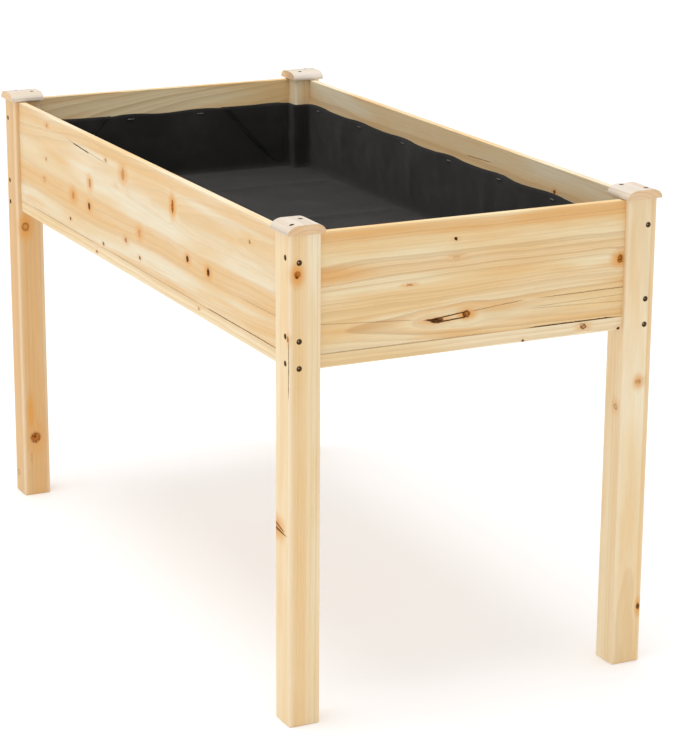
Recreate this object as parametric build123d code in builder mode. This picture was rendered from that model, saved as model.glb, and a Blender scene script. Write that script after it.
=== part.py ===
from build123d import *
import os
from collections import namedtuple
from math import sqrt

# Raised planter on legs: four square posts carry a trough of softwood boards with a slatted floor.
# X runs along the bed, Y across it and Z up. The origin is on the ground, under the bed's centre.
# Every size is in millimetres.

# Overall sizes
bed_length = 1219.0  # along X, over the posts
bed_width = 610.0  # along Y, over the posts
total_height = 762.0  # from the ground to the top of the caps

# Posts and their caps
post_side = 50.0
post_edge_radius = 4.0
post_foot_bevel = 1.5
cap_overhang = 5.0  # past the post on every side
cap_thickness = 14.0
cap_shoulder_width = 18.0  # of each of the two rounded shoulders, across the grain
cap_square_edge = 1.5  # the height left upright under a shoulder
cap_end_radius = 0.8  # round the top of the two sawn ends

# Walls, and the rails that close them below
wall_board_height = 180.0
wall_thickness = 12.0
wall_setback = 9.0  # from the post's outer face to the wall's outer face
wall_drop = 2.0  # the wall ends this far below the post's top
rail_height = 20.0
rail_depth = 30.0
board_edge_radius = 1.0

# Floor slats and the bearer under their middle
slat_width = 83.0
slat_thickness = 12.0
drain_gap = 6.0  # least gap between two slats
slat_edge_radius = 1.5
slat_clearance = 1.0  # to the walls
notch_clearance = 1.5  # from an end slat's notch to the post
bearer_width = 40.0
lap_depth = 10.0  # the bearer's tongue, and the notch for it in the rail
lap_clearance = 0.5

# Liner, a sheet of felt that lies in the trough and stands up its walls
liner_thickness = 2.0
liner_clearance = 0.6
liner_rim_drop = 42.0  # its edge lies this far below the top of the walls

# Wood screws, nails and staples
Screw = namedtuple("Screw", "head_radius bore_radius shank_radius length sink")
post_screw = Screw(head_radius=3.1, bore_radius=4.0, shank_radius=1.9, length=80.0, sink=1.8)
wall_screw = Screw(head_radius=3.6, bore_radius=3.9, shank_radius=1.9, length=50.0, sink=1.0)
slat_screw = Screw(head_radius=3.4, bore_radius=3.7, shank_radius=1.7, length=25.0, sink=0.8)
bearer_screw = Screw(head_radius=3.4, bore_radius=3.7, shank_radius=1.7, length=17.0, sink=0.5)
head_rim = 0.5  # the straight edge above a screw head's cone
point_length = 5.0
recess_width = 1.0  # of each slot in the cross recess
recess_depth = 1.3
head_play = 0.3  # of a screw head in its cone, or a nail head in its seat
shank_play = 0.4
pilot_play = 0.05

post_screw_drops = (41.0, 156.0, 196.0)  # below the post's top, into the long walls
post_screw_step = 6.0  # the screws into the short walls are this much higher, to clear the others
wall_screw_end = 70.0  # from a rail's end to its first wall screw
wall_screw_pitch = 260.0  # greatest spacing
slat_screw_inset = 9.0  # from the wall's inner face
bearer_screw_spacing = 20.0

nail_head_radius = 2.6
nail_head_thickness = 0.9
nail_radius = 1.1
nail_length = 32.0
nail_sink = 0.5
# Two nails in each cap, driven by hand, so no two caps have them in the same places.
cap_nail_spots = {
    "front_right": ((-10.0, 8.0), (17.0, -18.0)),
    "rear_right": ((-19.0, -12.0), (16.0, 9.0)),
    "front_left": ((-14.0, -8.0), (11.0, 14.0)),
    "rear_left": ((13.0, -11.0), (-14.0, 12.0)),
}

# The caps are sawn off a moulding, and its grain runs along the bed at one end and across it at the other.
along_bed = (1, 0, 0)
across_bed = (0, 1, 0)
cap_grain = {
    "front_right": along_bed,
    "rear_right": along_bed,
    "front_left": across_bed,
    "rear_left": across_bed,
}

staple_crown = 12.0
staple_wire = 1.1
staple_leg = 8.0
staple_drop = 10.0  # below the liner's edge
staple_pitch = 190.0  # greatest spacing
staple_end = 45.0  # from a post to the nearest staple
staple_play = 0.15

# Levels
post_height = total_height - cap_thickness
wall_top = post_height - wall_drop
wall_base = wall_top - wall_board_height
rail_base = wall_base - rail_height
floor_top = wall_base + slat_thickness
liner_floor = floor_top + liner_clearance
liner_rim = wall_top - liner_rim_drop

# Caps
cap_side = post_side + 2 * cap_overhang
cap_flat = cap_side - 2 * cap_shoulder_width  # the width of the top between the shoulders
cap_shoulder_rise = cap_thickness - cap_square_edge

# Places in plan
post_x = (bed_length - post_side) / 2
post_y = (bed_width - post_side) / 2
clear_length = bed_length - 2 * post_side  # between the posts
clear_width = bed_width - 2 * post_side
wall_line_x = bed_length / 2 - wall_setback - wall_thickness / 2  # middle of a short wall
wall_line_y = bed_width / 2 - wall_setback - wall_thickness / 2  # middle of a long wall
inner_x = wall_line_x - wall_thickness / 2
inner_y = wall_line_y - wall_thickness / 2
rail_line_x = bed_length / 2 - wall_setback - rail_depth / 2
rail_line_y = bed_width / 2 - wall_setback - rail_depth / 2
rail_inner_x = rail_line_x - rail_depth / 2
rail_inner_y = rail_line_y - rail_depth / 2

sides_y = {"front": -1, "rear": 1}
sides_x = {"left": -1, "right": 1}
corners = {f"{y}_{x}": (sides_x[x], sides_y[y]) for y in sides_y for x in sides_x}


def spread(reach, pitch):
    """Evenly spaced places from -reach to reach, at most a pitch apart."""
    gaps = max(1, -int(-2 * reach // pitch))
    return [-reach + 2 * reach * step / gaps for step in range(gaps + 1)]


def facing(x, y, z, direction, across=(0, 0, 1)):
    """The place of a hole or fastener at a point, with its axis leaving the wood in a direction."""
    return Plane(origin=(x, y, z), x_dir=across, z_dir=direction).location


def sunk(places, depth):
    """The same places, moved a depth into the wood."""
    return [place * Location((0, 0, -depth)) for place in places]


def screw_seats(places, screw, through):
    """Cut bores, seats and clearance holes, for screws that pass through the open part."""
    cone_height = screw.head_radius - screw.shank_radius
    with Locations(*places):
        Hole(screw.bore_radius, depth=screw.sink + head_rim)
        Hole(screw.shank_radius + shank_play, depth=through + 1)
    with Locations(*sunk(places, screw.sink + head_rim + cone_height / 2)):
        Cone(
            bottom_radius=screw.shank_radius + head_play,
            top_radius=screw.head_radius + head_play,
            height=cone_height,
            mode=Mode.SUBTRACT,
        )


def pilot_holes(places, screw, through):
    """Cut the pilot holes, in the open part, for screws that have passed through another."""
    with Locations(*sunk(places, through)):
        Hole(screw.shank_radius + pilot_play, depth=screw.length + screw.sink - through + 1)


def make_screw(screw):
    """One countersunk wood screw with a cross recess, its bore's mouth at the origin."""
    head = -screw.sink
    neck = head - head_rim - (screw.head_radius - screw.shank_radius)
    tip = head - screw.length
    with BuildPart() as blank:
        with BuildSketch(Plane.XZ):
            with BuildLine():
                Polyline(
                    (0, head),
                    (screw.head_radius, head),
                    (screw.head_radius, head - head_rim),
                    (screw.shank_radius, neck),
                    (screw.shank_radius, tip + point_length),
                    (0, tip),
                    close=True,
                )
            make_face()
        revolve(axis=Axis.Z)
        with BuildSketch(Plane.XY.offset(head)):
            Rectangle(screw.head_radius * 1.2, recess_width)
            Rectangle(recess_width, screw.head_radius * 1.2)
        extrude(amount=-recess_depth, mode=Mode.SUBTRACT)
    return blank.part


def make_screws(screw, places, label):
    """A node that holds one screw at each place."""
    with BuildPart() as group:
        with Locations(*places):
            add(make_screw(screw))
    group.part.label = label
    export_step(group.part, f"parts/{label}.step")


def long_wall_screws(side_x, side_y):
    """Places on a post's X face, for screws into a long wall and its rail."""
    x = side_x * bed_length / 2
    y = side_y * wall_line_y
    return [facing(x, y, post_height - drop, (side_x, 0, 0)) for drop in post_screw_drops]


def short_wall_screws(side_x, side_y):
    """Places on a post's Y face, for screws into a short wall and its rail."""
    x = side_x * wall_line_x
    y = side_y * bed_width / 2
    levels = [post_height - drop + post_screw_step for drop in post_screw_drops]
    return [facing(x, y, level, (0, side_y, 0)) for level in levels]


def long_rail_screws(side_y):
    """Places under a long rail, for screws up into its wall."""
    reach = clear_length / 2 - wall_screw_end
    y = side_y * wall_line_y
    return [facing(x, y, rail_base, (0, 0, -1), (1, 0, 0)) for x in spread(reach, wall_screw_pitch)]


def short_rail_screws(side_x):
    """Places under a short rail, for screws up into its wall."""
    reach = clear_width / 2 - wall_screw_end
    x = side_x * wall_line_x
    return [facing(x, y, rail_base, (0, 0, -1), (1, 0, 0)) for y in spread(reach, wall_screw_pitch)]


def shoulder_fall(across):
    """How far a cap's elliptical shoulder lies below its top, at a distance from its middle."""
    share = max(0, across - cap_flat / 2) / cap_shoulder_width
    return cap_shoulder_rise * (1 - sqrt(1 - share**2))


def cap_nails(corner):
    """Places on a cap's top for its nails."""
    side_x, side_y = corners[corner]
    x = side_x * post_x
    y = side_y * post_y
    places = []
    for dx, dy in cap_nail_spots[corner]:
        across = abs(dy) if cap_grain[corner] == along_bed else abs(dx)
        level = total_height - shoulder_fall(across)
        places.append(facing(x + dx, y + dy, level, (0, 0, 1), (1, 0, 0)))
    return places


def lap_screws(side_x):
    """Places on a tongue of the bearer, for screws down into the short rail."""
    x = side_x * (rail_inner_x + inner_x) / 2
    half = bearer_screw_spacing / 2
    return [facing(x, y, wall_base, (0, 0, 1), (1, 0, 0)) for y in (-half, half)]


def long_wall_staples(side_y):
    """Places on a long wall's inner face, for the staples that hold the liner."""
    reach = clear_length / 2 - staple_end
    level = liner_rim - staple_drop
    return [facing(x, side_y * inner_y, level, (0, -side_y, 0), (1, 0, 0)) for x in spread(reach, staple_pitch)]


def short_wall_staples(side_x):
    """Places on a short wall's inner face, for the staples that hold the liner."""
    reach = clear_width / 2 - staple_end
    level = liner_rim - staple_drop
    return [facing(side_x * inner_x, y, level, (-side_x, 0, 0), (0, 1, 0)) for y in spread(reach, staple_pitch)]


def staple_holes(places):
    """Cut the holes for the legs of staples in the open part."""
    for side in (-1, 1):
        across = side * (staple_crown - staple_wire) / 2
        with Locations(*[place * Location((across, 0, 0)) for place in places]):
            Box(
                staple_wire + 2 * staple_play,
                staple_wire + 2 * staple_play,
                2 * (staple_leg + staple_play),
                mode=Mode.SUBTRACT,
            )


def slat_screws(slat):
    """Places on a floor slat, one over each long rail and one over the bearer."""
    rows = (-(inner_y - slat_screw_inset), 0, inner_y - slat_screw_inset)
    return [facing(slat_screw_line(slat), y, floor_top, (0, 0, 1), (1, 0, 0)) for y in rows]


os.makedirs("parts", exist_ok=True)

# Posts: square, with rounded edges, drilled through two faces for the screws into the walls.
for name, (side_x, side_y) in corners.items():
    with BuildPart() as post:
        with BuildSketch():
            with Locations((side_x * post_x, side_y * post_y)):
                RectangleRounded(post_side, post_side, post_edge_radius)
        extrude(amount=post_height)
        chamfer(post.faces().sort_by(Axis.Z)[0].edges(), post_foot_bevel)
        screw_seats(long_wall_screws(side_x, side_y), post_screw, post_side)
        screw_seats(short_wall_screws(side_x, side_y), post_screw, post_side)
        with Locations(*cap_nails(name)):
            Hole(nail_radius + pilot_play, depth=nail_length + nail_sink + 1)
    post.part.label = f"{name}_post"
    export_step(post.part, f"parts/{name}_post.step")

# Post caps: short lengths of a moulding with elliptical shoulders, nailed down through the top.
for name, (side_x, side_y) in corners.items():
    grain = Vector(*cap_grain[name])
    foot = (side_x * post_x, side_y * post_y, post_height)
    with BuildPart() as cap:
        with BuildSketch(Plane(origin=foot, x_dir=Vector(0, 0, 1).cross(grain), z_dir=grain)):
            with BuildLine():
                Polyline((0, 0), (cap_side / 2, 0), (cap_side / 2, cap_square_edge))
                shoulder_centre = (cap_flat / 2, cap_square_edge)
                shoulder = EllipticalCenterArc(shoulder_centre, cap_shoulder_width, cap_shoulder_rise)
                Line(shoulder @ 1, (0, cap_thickness))
                mirror(about=Plane.YZ)
            make_face()
        extrude(amount=cap_side / 2, both=True)
        walls_and_ends = cap.faces().sort_by(Axis(foot, grain))
        end_edges = walls_and_ends[0].edges() + walls_and_ends[-1].edges()
        fillet([edge for edge in end_edges if edge.center().Z > post_height], cap_end_radius)
        with Locations(*cap_nails(name)):
            Cylinder(nail_head_radius + head_play, 2 * (nail_sink + nail_head_thickness), mode=Mode.SUBTRACT)
            Hole(nail_radius + pilot_play, depth=cap_thickness)
    cap.part.label = f"{name}_cap"
    export_step(cap.part, f"parts/{name}_cap.step")

# Long walls: one wide board between two posts.
for name, side_y in sides_y.items():
    with BuildPart() as wall:
        with BuildSketch(Plane.XY.offset(wall_base)):
            with Locations((0, side_y * wall_line_y)):
                Rectangle(clear_length, wall_thickness)
        extrude(amount=wall_board_height)
        fillet(wall.edges().filter_by(Axis.X), board_edge_radius)
        for side_x in (-1, 1):
            pilot_holes(long_wall_screws(side_x, side_y)[:2], post_screw, post_side)
        pilot_holes(long_rail_screws(side_y), wall_screw, rail_height)
        staple_holes(long_wall_staples(side_y))
    wall.part.label = f"{name}_wall"
    export_step(wall.part, f"parts/{name}_wall.step")

# Short walls: the same board, across the ends of the bed.
for name, side_x in sides_x.items():
    with BuildPart() as wall:
        with BuildSketch(Plane.XY.offset(wall_base)):
            with Locations((side_x * wall_line_x, 0)):
                Rectangle(wall_thickness, clear_width)
        extrude(amount=wall_board_height)
        fillet(wall.edges().filter_by(Axis.Y), board_edge_radius)
        for side_y in (-1, 1):
            pilot_holes(short_wall_screws(side_x, side_y)[:2], post_screw, post_side)
        pilot_holes(short_rail_screws(side_x), wall_screw, rail_height)
        staple_holes(short_wall_staples(side_x))
    wall.part.label = f"{name}_wall"
    export_step(wall.part, f"parts/{name}_wall.step")

# Floor slats, laid across the bed on the long rails. The two end slats are notched round the posts.
floor_run = 2 * (inner_x - slat_clearance)
slat_count = int((floor_run + drain_gap) // (slat_width + drain_gap))
slat_step = (floor_run - slat_width) / (slat_count - 1)
slat_length = 2 * (inner_y - slat_clearance)


def slat_line(slat):
    """The middle of a slat along the bed."""
    return slat_step * (slat - (slat_count - 1) / 2)


def slat_screw_line(slat):
    """The place of a slat's screws along the bed, in the middle of the ends that its notches leave."""
    low = max(slat_line(slat) - slat_width / 2, -(clear_length / 2 - notch_clearance))
    high = min(slat_line(slat) + slat_width / 2, clear_length / 2 - notch_clearance)
    return (low + high) / 2


for slat in range(slat_count):
    with BuildPart() as floor_slat:
        with BuildSketch(Plane.XY.offset(wall_base)):
            with Locations((slat_line(slat), 0)):
                Rectangle(slat_width, slat_length)
            with GridLocations(2 * post_x, 2 * post_y, 2, 2):
                Rectangle(
                    post_side + 2 * notch_clearance,
                    post_side + 2 * notch_clearance,
                    mode=Mode.SUBTRACT,
                )
        extrude(amount=slat_thickness)
        fillet(floor_slat.edges().filter_by(Axis.Y).group_by(Axis.Z)[-1], slat_edge_radius)
        screw_seats(slat_screws(slat), slat_screw, slat_thickness)
    label = f"floor_slat_{slat + 1:02d}"
    floor_slat.part.label = label
    export_step(floor_slat.part, f"parts/{label}.step")

slat_screw_places = [place for slat in range(slat_count) for place in slat_screws(slat)]

# Long rails: they close the long walls below and carry the ends of the slats.
for name, side_y in sides_y.items():
    with BuildPart() as rail:
        with BuildSketch(Plane.XY.offset(rail_base)):
            with Locations((0, side_y * rail_line_y)):
                Rectangle(clear_length, rail_depth)
        extrude(amount=rail_height)
        fillet(rail.edges().filter_by(Axis.X), board_edge_radius)
        for side_x in (-1, 1):
            pilot_holes(long_wall_screws(side_x, side_y)[2:], post_screw, post_side)
        screw_seats(long_rail_screws(side_y), wall_screw, rail_height)
        rail_slat_screws = [place for place in slat_screw_places if place.position.Y * side_y > 0]
        pilot_holes(rail_slat_screws, slat_screw, slat_thickness)
    rail.part.label = f"{name}_rail"
    export_step(rail.part, f"parts/{name}_rail.step")

# Short rails: notched in the middle for the bearer's tongue.
for name, side_x in sides_x.items():
    with BuildPart() as rail:
        with BuildSketch(Plane.XY.offset(rail_base)):
            with Locations((side_x * rail_line_x, 0)):
                Rectangle(rail_depth, clear_width)
        extrude(amount=rail_height)
        fillet(rail.edges().filter_by(Axis.Y), board_edge_radius)
        for side_y in (-1, 1):
            pilot_holes(short_wall_screws(side_x, side_y)[2:], post_screw, post_side)
        screw_seats(short_rail_screws(side_x), wall_screw, rail_height)
        with BuildSketch(Plane.XY.offset(wall_base)):
            with Locations((side_x * (rail_inner_x + inner_x) / 2, 0)):
                Rectangle(inner_x - rail_inner_x, bearer_width + 2 * lap_clearance)
        extrude(amount=-lap_depth, mode=Mode.SUBTRACT)
        pilot_holes(lap_screws(side_x), bearer_screw, lap_depth)
    rail.part.label = f"{name}_rail"
    export_step(rail.part, f"parts/{name}_rail.step")

# Centre bearer: a batten under the middle of the slats, half-lapped into the short rails.
with BuildPart() as centre_bearer:
    with BuildSketch(Plane.XY.offset(wall_base)):
        Rectangle(2 * (inner_x - lap_clearance), bearer_width)
    extrude(amount=-lap_depth)
    with BuildSketch(Plane.XY.offset(rail_base)):
        Rectangle(2 * (rail_inner_x - lap_clearance), bearer_width)
    extrude(amount=rail_height - lap_depth)
    for side_x in (-1, 1):
        screw_seats(lap_screws(side_x), bearer_screw, lap_depth)
    bearer_slat_screws = [place for place in slat_screw_places if place.position.Y == 0]
    pilot_holes(bearer_slat_screws, slat_screw, slat_thickness)
centre_bearer.part.label = "centre_bearer"
export_step(centre_bearer.part, "parts/centre_bearer.step")


def trough_outline(inset):
    """Sketch the trough's plan inside the walls, drawn in by an inset and stepped round the posts."""
    Rectangle(2 * (inner_x - inset), 2 * (inner_y - inset))
    with GridLocations(2 * post_x, 2 * post_y, 2, 2):
        Rectangle(post_side + 2 * inset, post_side + 2 * inset, mode=Mode.SUBTRACT)


# Liner: it lies on the slats and stands against the walls and the posts.
with BuildPart() as liner:
    with BuildSketch(Plane.XY.offset(liner_floor)):
        trough_outline(liner_clearance)
    extrude(amount=liner_rim - liner_floor)
    with BuildSketch(Plane.XY.offset(liner_floor + liner_thickness)):
        trough_outline(liner_clearance + liner_thickness)
    extrude(amount=liner_rim - liner_floor, mode=Mode.SUBTRACT)
    for side_y in sides_y.values():
        staple_holes(long_wall_staples(side_y))
    for side_x in sides_x.values():
        staple_holes(short_wall_staples(side_x))
liner.part.label = "liner"
export_step(liner.part, "parts/liner.step")

# Fasteners: each kind is one node of separate solids.
post_screw_places = []
wall_screw_places = []
for side_x, side_y in corners.values():
    post_screw_places += long_wall_screws(side_x, side_y) + short_wall_screws(side_x, side_y)
for side_y in sides_y.values():
    wall_screw_places += long_rail_screws(side_y)
for side_x in sides_x.values():
    wall_screw_places += short_rail_screws(side_x)
make_screws(post_screw, post_screw_places, "post_screws")
make_screws(wall_screw, wall_screw_places, "wall_screws")
make_screws(slat_screw, slat_screw_places, "slat_screws")
make_screws(bearer_screw, lap_screws(-1) + lap_screws(1), "bearer_screws")

with BuildPart() as nail:
    with Locations((0, 0, -nail_sink)):
        Cylinder(nail_head_radius, nail_head_thickness, align=(Align.CENTER, Align.CENTER, Align.MAX))
        Cylinder(nail_radius, nail_length, align=(Align.CENTER, Align.CENTER, Align.MAX))
    fillet(nail.faces().sort_by(Axis.Z)[-1].edges(), nail_head_thickness / 3)

with BuildPart() as nails:
    for corner in corners:
        with Locations(*cap_nails(corner)):
            add(nail.part)
nails.part.label = "cap_nails"
export_step(nails.part, "parts/cap_nails.step")

# Staples: a flat crown over the liner and two legs through it into the wall.
crown_lift = liner_clearance + liner_thickness
with BuildPart() as staple:
    with Locations((0, 0, crown_lift)):
        Box(staple_crown, staple_wire, staple_wire, align=(Align.CENTER, Align.CENTER, Align.MIN))
    leg_reach = crown_lift + staple_leg
    for side in (-1, 1):
        with Locations((side * (staple_crown - staple_wire) / 2, 0, crown_lift)):
            Box(staple_wire, staple_wire, leg_reach, align=(Align.CENTER, Align.CENTER, Align.MAX))

with BuildPart() as staples:
    for side_y in sides_y.values():
        with Locations(*long_wall_staples(side_y)):
            add(staple.part)
    for side_x in sides_x.values():
        with Locations(*short_wall_staples(side_x)):
            add(staple.part)
staples.part.label = "liner_staples"
export_step(staples.part, "parts/liner_staples.step")
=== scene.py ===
# %% [markdown]
# # A raised planter on legs
#
# A softwood box stands on four square posts, at a height where nobody has to kneel. The
# design comes in finished: every board, cap, screw and nail is already a solid at its real
# size. This notebook is about looks. It gives each board its own grain and knots, makes the
# felt liner hang like cloth, and lights the whole thing on a pale studio floor.
#
# The first cell loads the design from model.glb. `pieces` holds one object for each piece,
# in metres, with its place baked into its mesh.

# %% Load the frame
import math

import bmesh
import bpy
import numpy as np
from mathutils import Matrix, Vector


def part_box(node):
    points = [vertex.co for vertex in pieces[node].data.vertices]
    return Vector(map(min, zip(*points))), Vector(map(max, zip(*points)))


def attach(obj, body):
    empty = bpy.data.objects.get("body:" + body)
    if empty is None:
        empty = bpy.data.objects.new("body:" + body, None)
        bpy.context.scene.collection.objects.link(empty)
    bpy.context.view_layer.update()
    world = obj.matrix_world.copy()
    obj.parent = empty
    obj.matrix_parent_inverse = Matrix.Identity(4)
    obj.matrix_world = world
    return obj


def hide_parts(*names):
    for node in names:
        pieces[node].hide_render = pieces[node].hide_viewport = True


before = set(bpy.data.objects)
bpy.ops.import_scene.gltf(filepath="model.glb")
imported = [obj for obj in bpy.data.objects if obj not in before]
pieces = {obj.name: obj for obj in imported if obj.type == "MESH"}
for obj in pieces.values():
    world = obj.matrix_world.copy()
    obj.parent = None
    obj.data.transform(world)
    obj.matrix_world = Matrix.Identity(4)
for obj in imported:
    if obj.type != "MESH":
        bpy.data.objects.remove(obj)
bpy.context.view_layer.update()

print(f"{len(pieces)} pieces in the frame")


# %% [markdown]
# ## The camera
#
# A long lens held far back keeps the four posts nearly parallel, as a catalogue view does. The
# camera stands off the front right post, a little above the rim, and looks down by some
# sixteen degrees. Its turn is worked out from two angles and a slight roll: the forward
# direction first, then right, then up as the cross product of the two.

# %% Camera
CAMERA_PLACE = Vector((3.7266, -1.765, 1.548))
CAMERA_AZIMUTH = math.radians(63.724)
CAMERA_PITCH_DOWN = math.radians(16.14)
CAMERA_ROLL = math.radians(0.35)
CAMERA_LENS = 122.6


def turned_camera(azimuth, down, roll):
    """The camera's turn: forward is the azimuth tipped down, right is level, and up completes them."""
    forward = Vector((
        -math.sin(azimuth) * math.cos(down),
        math.cos(azimuth) * math.cos(down),
        -math.sin(down),
    ))
    right = Vector((math.cos(azimuth), math.sin(azimuth), 0))
    up = right.cross(forward)
    rolled_right = math.cos(roll) * right + math.sin(roll) * up
    rolled_up = math.cos(roll) * up - math.sin(roll) * right
    return Matrix((rolled_right, rolled_up, -forward)).transposed()


camera = bpy.data.objects.new("camera", bpy.data.cameras.new("camera"))
bpy.context.scene.collection.objects.link(camera)
camera.data.lens = CAMERA_LENS
camera.matrix_world = (
    Matrix.Translation(CAMERA_PLACE)
    @ turned_camera(CAMERA_AZIMUTH, CAMERA_PITCH_DOWN, CAMERA_ROLL).to_4x4()
)
bpy.context.scene.camera = camera
print("camera at", [round(value, 2) for value in CAMERA_PLACE])


# %% [markdown]
# ## A shorthand for node trees
#
# Every finish below is a sum of a few textures, so it is worth having a short way to write
# sums. `Recipe` wraps one material. Each method adds one node, feeds it numbers or other
# nodes' outputs, and hands back its output, so a formula in the code reads as it would on
# paper.

# %% Recipe
class Recipe:
    """One material and short methods that add a node each and return its output."""

    def __init__(self, name):
        self.material = bpy.data.materials.new(name)
        self.material.use_nodes = True
        self.nodes = self.material.node_tree.nodes
        self.links = self.material.node_tree.links
        self.nodes.clear()

    def feed(self, socket, value):
        """Sets a socket from a number, a triple, or another node's output."""
        if isinstance(value, bpy.types.NodeSocket):
            self.links.new(value, socket)
        elif value is not None:
            socket.default_value = value

    def math(self, kind, *values):
        """One step of arithmetic on numbers."""
        node = self.nodes.new("ShaderNodeMath")
        node.operation = kind
        for socket, value in zip(node.inputs, values):
            self.feed(socket, value)
        return node.outputs[0]

    def vector(self, kind, *values):
        """One step of arithmetic on places or directions."""
        node = self.nodes.new("ShaderNodeVectorMath")
        node.operation = kind
        for socket, value in zip(node.inputs, values):
            self.feed(socket, value)
        one_number = kind in ("DOT_PRODUCT", "LENGTH", "DISTANCE")
        return node.outputs["Value" if one_number else "Vector"]

    def stretched(self, place, scales, shift=0.0):
        """A place times one scale for each axis, and moved, so that no two boards share a pattern."""
        shifts = (shift * 17.31, shift * 9.73, shift * 5.17)
        return self.vector("MULTIPLY_ADD", place, scales, shifts)

    def noise(self, place, detail=2.0, roughness=0.5):
        """Smooth noise from 0 to 1, with a grain of about one unit."""
        node = self.nodes.new("ShaderNodeTexNoise")
        self.feed(node.inputs["Vector"], place)
        node.inputs["Scale"].default_value = 1.0
        node.inputs["Detail"].default_value = detail
        node.inputs["Roughness"].default_value = roughness
        return node.outputs[0]

    def noise_along(self, value, detail=1.0):
        """Smooth noise along one number, from 0 to 1."""
        node = self.nodes.new("ShaderNodeTexNoise")
        node.noise_dimensions = "1D"
        self.feed(node.inputs["W"], value)
        node.inputs["Scale"].default_value = 1.0
        node.inputs["Detail"].default_value = detail
        return node.outputs[0]

    def dice(self, value):
        """A number from 0 to 1 that is unlike its neighbours', for each whole value."""
        node = self.nodes.new("ShaderNodeTexWhiteNoise")
        node.noise_dimensions = "1D"
        self.feed(node.inputs["W"], value)
        return node.outputs["Value"]

    def fade(self, value, start, end, low=0.0, high=1.0):
        """A soft step: low up to start, high past end, and a smooth curve between."""
        node = self.nodes.new("ShaderNodeMapRange")
        node.interpolation_type = "SMOOTHSTEP"
        for socket, given in zip(node.inputs, (value, start, end, low, high)):
            self.feed(socket, given)
        return node.outputs[0]

    def blend(self, share, first, second, kind="MIX"):
        """The first colour, mixed towards the second by share."""
        node = self.nodes.new("ShaderNodeMix")
        node.data_type = "RGBA"
        node.blend_type = kind
        self.feed(node.inputs[0], share)
        for socket, colour in ((node.inputs[6], first), (node.inputs[7], second)):
            self.feed(socket, colour if isinstance(colour, bpy.types.NodeSocket) else (*colour, 1.0))
        return node.outputs[2]

    def joined(self, x, y, z):
        """Three numbers as one place."""
        node = self.nodes.new("ShaderNodeCombineXYZ")
        for socket, value in zip(node.inputs, (x, y, z)):
            self.feed(socket, value)
        return node.outputs[0]

    def parts(self, place):
        """A place's three numbers."""
        node = self.nodes.new("ShaderNodeSeparateXYZ")
        self.feed(node.inputs[0], place)
        return tuple(node.outputs)

    def most(self, kept, new):
        """The larger of two strengths, where the first may not be there yet."""
        return new if kept is None else self.math("MAXIMUM", kept, new)

    def shaded(self, colour, amount):
        """The colour times one number."""
        return self.blend(1.0, colour, self.joined(amount, amount, amount), "MULTIPLY")

    def place(self):
        """The shaded point in the piece's own coordinates, in metres."""
        return self.nodes.new("ShaderNodeTexCoord").outputs["Object"]

    def normal(self):
        """The surface's direction in the piece's own coordinates."""
        return self.nodes.new("ShaderNodeTexCoord").outputs["Normal"]

    def finish(self, colour, roughness, height=None, relief=0.0, **others):
        """The shader itself, and a bump whose relief is in metres."""
        shader = self.nodes.new("ShaderNodeBsdfPrincipled")
        self.feed(shader.inputs["Base Color"], colour)
        self.feed(shader.inputs["Roughness"], roughness)
        for name, value in others.items():
            self.feed(shader.inputs[name.replace("_", " ")], value)
        if height is not None:
            bump = self.nodes.new("ShaderNodeBump")
            bump.inputs["Distance"].default_value = relief
            self.feed(bump.inputs["Height"], height)
            self.links.new(bump.outputs[0], shader.inputs["Normal"])
        output = self.nodes.new("ShaderNodeOutputMaterial")
        self.links.new(shader.outputs[0], output.inputs[0])
        return self.material


def dress(piece, material):
    """Puts one material on every slot of a piece."""
    if not piece.material_slots:
        piece.data.materials.append(material)
    for slot in piece.material_slots:
        slot.material = material


# %% [markdown]
# ## Floor and light
#
# The floor is one wide, pale disc with nothing on it. It glows a little, and more with
# distance, as a lit white sweep does: the shadow stays soft and no horizon shows. The light is
# a bright, even room with one broad panel overhead and one to the front left. Broad panels
# give the soft shadow under the bed, and the front panel makes the long side a little
# brighter than the short one.

# %% Floor
FLOOR_RADIUS = 30.0
FLOOR_COLOUR = (0.915, 0.925, 0.94)
GLOW_NEAR = 0.14
GLOW_FAR = 0.26
GLOW_GROWS = (1.2, 4.5)  # metres from the middle
GLOW_COLOUR = (0.98, 1.0, 1.16, 1.0)  # a little blue, against the warm light that the boards throw down


def disc(radius, sides=96):
    """A flat disc: a ring of points at equal angles round the middle, as one face."""
    turn = np.linspace(0, 2 * np.pi, sides, endpoint=False)
    points = np.column_stack([radius * np.cos(turn), radius * np.sin(turn), np.zeros(sides)])
    mesh = bpy.data.meshes.new("studio_floor")
    mesh.from_pydata(points.tolist(), [], [list(range(sides))])
    return mesh


floor_recipe = Recipe("pale_floor")
floor_mottle = floor_recipe.noise(floor_recipe.stretched(floor_recipe.place(), (3, 3, 3)), detail=4)
dusty = tuple(0.985 * channel for channel in FLOOR_COLOUR)
floor_colour = floor_recipe.blend(floor_mottle, FLOOR_COLOUR, dusty)
floor = bpy.data.objects.new("studio_floor", disc(FLOOR_RADIUS))
bpy.context.scene.collection.objects.link(floor)
out_from_middle = floor_recipe.vector("LENGTH", floor_recipe.place())
floor_glow = floor_recipe.fade(out_from_middle, *GLOW_GROWS, GLOW_NEAR, GLOW_FAR)
dress(floor, floor_recipe.finish(floor_colour, 0.9, Emission_Color=GLOW_COLOUR, Emission_Strength=floor_glow))
print("floor:", FLOOR_RADIUS, "m in radius, glow from", GLOW_NEAR, "to", GLOW_FAR)


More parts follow.
